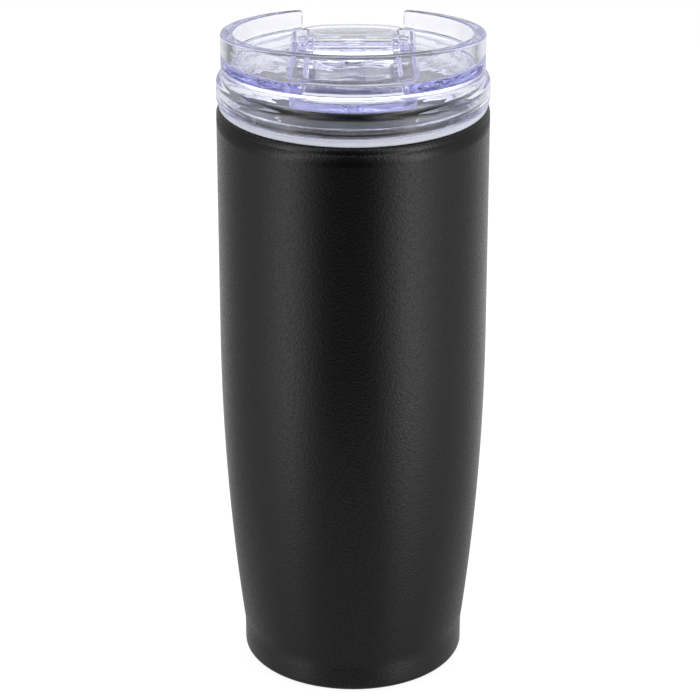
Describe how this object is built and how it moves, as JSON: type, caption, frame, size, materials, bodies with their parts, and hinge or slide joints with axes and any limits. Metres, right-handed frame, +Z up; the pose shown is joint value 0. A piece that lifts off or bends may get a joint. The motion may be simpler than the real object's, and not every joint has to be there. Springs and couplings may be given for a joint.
{
  "type": "insulated tumbler",
  "caption": "Tall double-wall steel tumbler that narrows to its foot, with a clear push-in lid, slanted collar and a flip cap whose thumb tab passes through a notch.",
  "frame": {"origin": "centre of the foot's resting plane", "axes": "+Z up along the tumbler's axis, +Y towards the drinking side where the thumb tab is, X along the cap's hinge"},
  "size_m": [0.0862, 0.0862, 0.2193],
  "materials": {
    "powder_coat": "fine-textured satin powder coat",
    "steel": "brushed stainless steel",
    "solder_glass": "melted glass solder",
    "copper": "bright copper foil",
    "clear_plastic": "clear moulded plastic with a faint violet tint",
    "white_silicone": "smooth white silicone",
    "clear_silicone": "frosted clear silicone"
  },
  "bodies": {
    "tumbler": {"outer_shell": "powder_coat", "outer_base": "steel", "base_cover": "steel", "vacuum_port_seal": "solder_glass", "getter_capsule": "steel", "copper_foil": "copper", "inner_vessel": "steel", "inner_vessel_base": "steel"},
    "lid": {"lid_body": "clear_plastic", "lid_skirt": "clear_plastic", "seat_ring": "white_silicone", "lid_gasket": "white_silicone"},
    "cap": {"flip_cap": "clear_plastic", "stopper_seal": "clear_silicone", "vent_seal": "clear_silicone"}
  },
  "joints": [
    {"name": "lid_lift", "type": "slide", "parent": "tumbler", "child": "lid", "axis": [0, 0, 1], "range_m": [0, 0.08]},
    {"name": "cap_hinge", "type": "hinge", "parent": "lid", "child": "cap", "pos_m": [0, 0.0065, 0.208], "axis": [1, 0, 0], "range_deg": [0, 180]}
  ]
}
